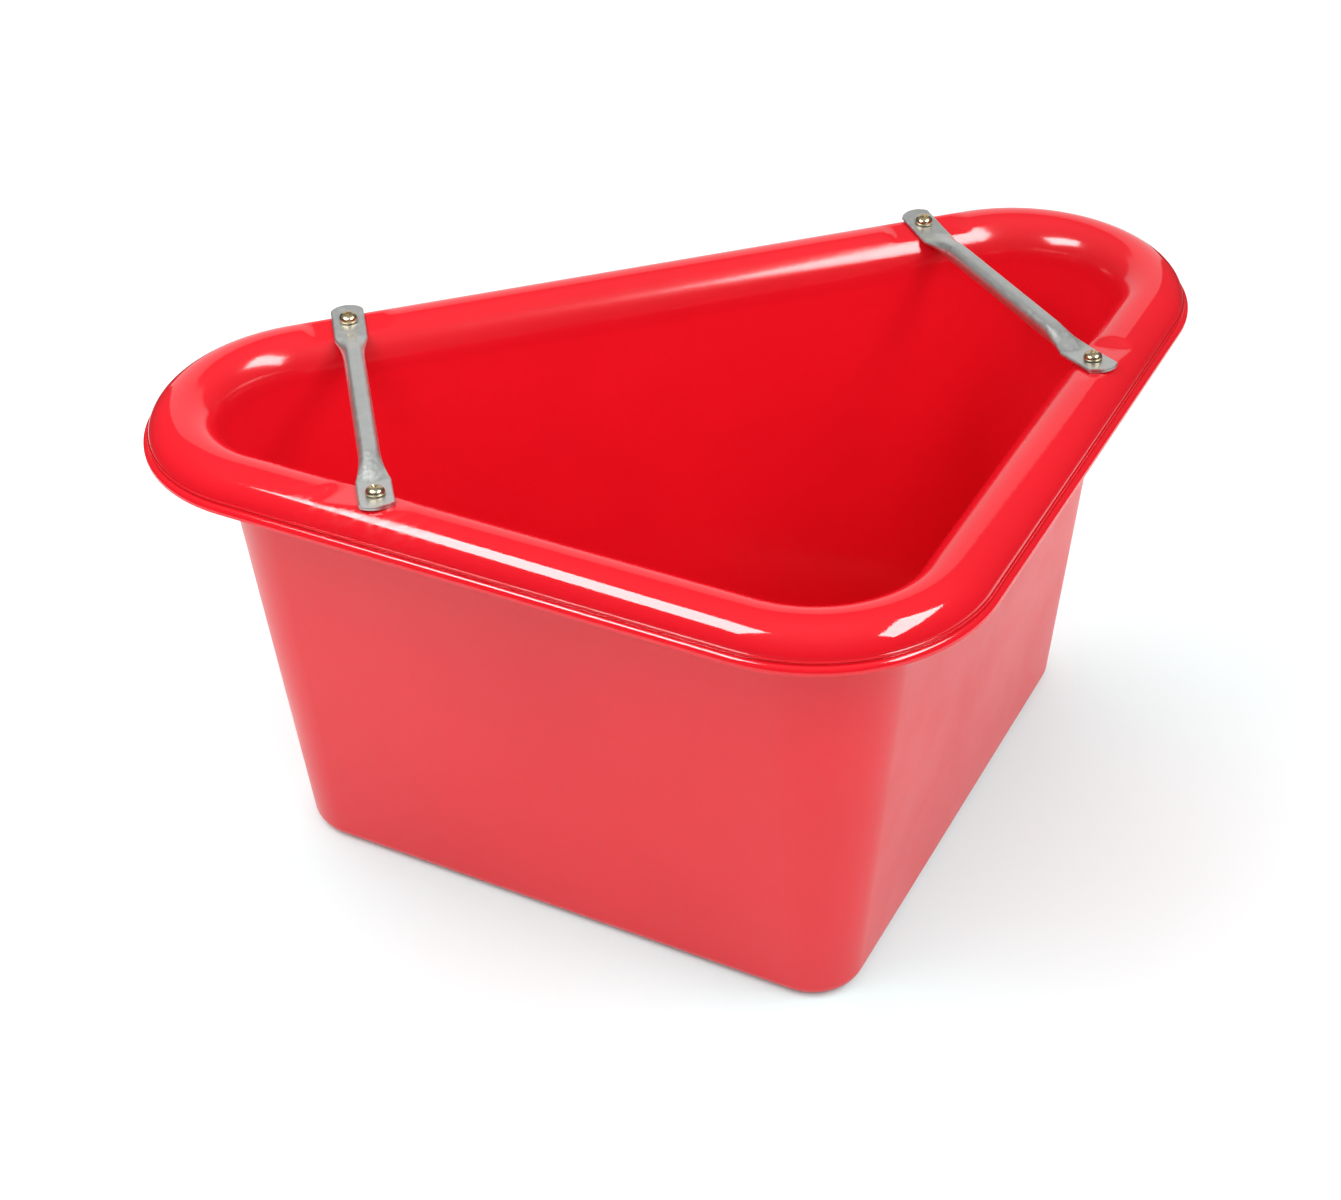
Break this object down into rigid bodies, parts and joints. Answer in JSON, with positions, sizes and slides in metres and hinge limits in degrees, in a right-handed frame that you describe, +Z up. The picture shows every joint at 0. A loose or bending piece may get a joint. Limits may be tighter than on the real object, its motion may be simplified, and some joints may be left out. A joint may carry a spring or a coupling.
{
  "type": "corner feed bucket",
  "caption": "Triangular moulded plastic feed bucket for a stable corner, with a wide rolled rim and flattened tube bars bolted across both narrow ends.",
  "frame": {"origin": "middle of the footprint's bounding box, on the floor plane that the tub stands on", "axes": "+X along the long straight side, +Y toward that long side, -Y toward the right-angled corner, +Z up"},
  "size_m": [0.6402, 0.4208, 0.3114],
  "materials": {
    "tub": "red moulded polyethylene, glossy inside and on the rim, satin outside",
    "bar": "satin grey zinc-plated steel tube",
    "screw": "bright yellow zinc plate",
    "hardware": "zinc plate",
    "nut_insert": "nylon"
  },
  "bodies": {
    "root": {"tub": "tub", "left_bar": "bar", "right_bar": "bar", "left_back_screw": "screw", "left_front_screw": "screw", "right_back_screw": "screw", "right_front_screw": "screw", "left_back_washer": "hardware", "left_front_washer": "hardware", "right_back_washer": "hardware", "right_front_washer": "hardware", "left_back_nut": "hardware", "left_front_nut": "hardware", "right_back_nut": "hardware", "right_front_nut": "hardware", "left_back_nut_insert": "nut_insert", "left_front_nut_insert": "nut_insert", "right_back_nut_insert": "nut_insert", "right_front_nut_insert": "nut_insert"}
  },
  "joints": []
}
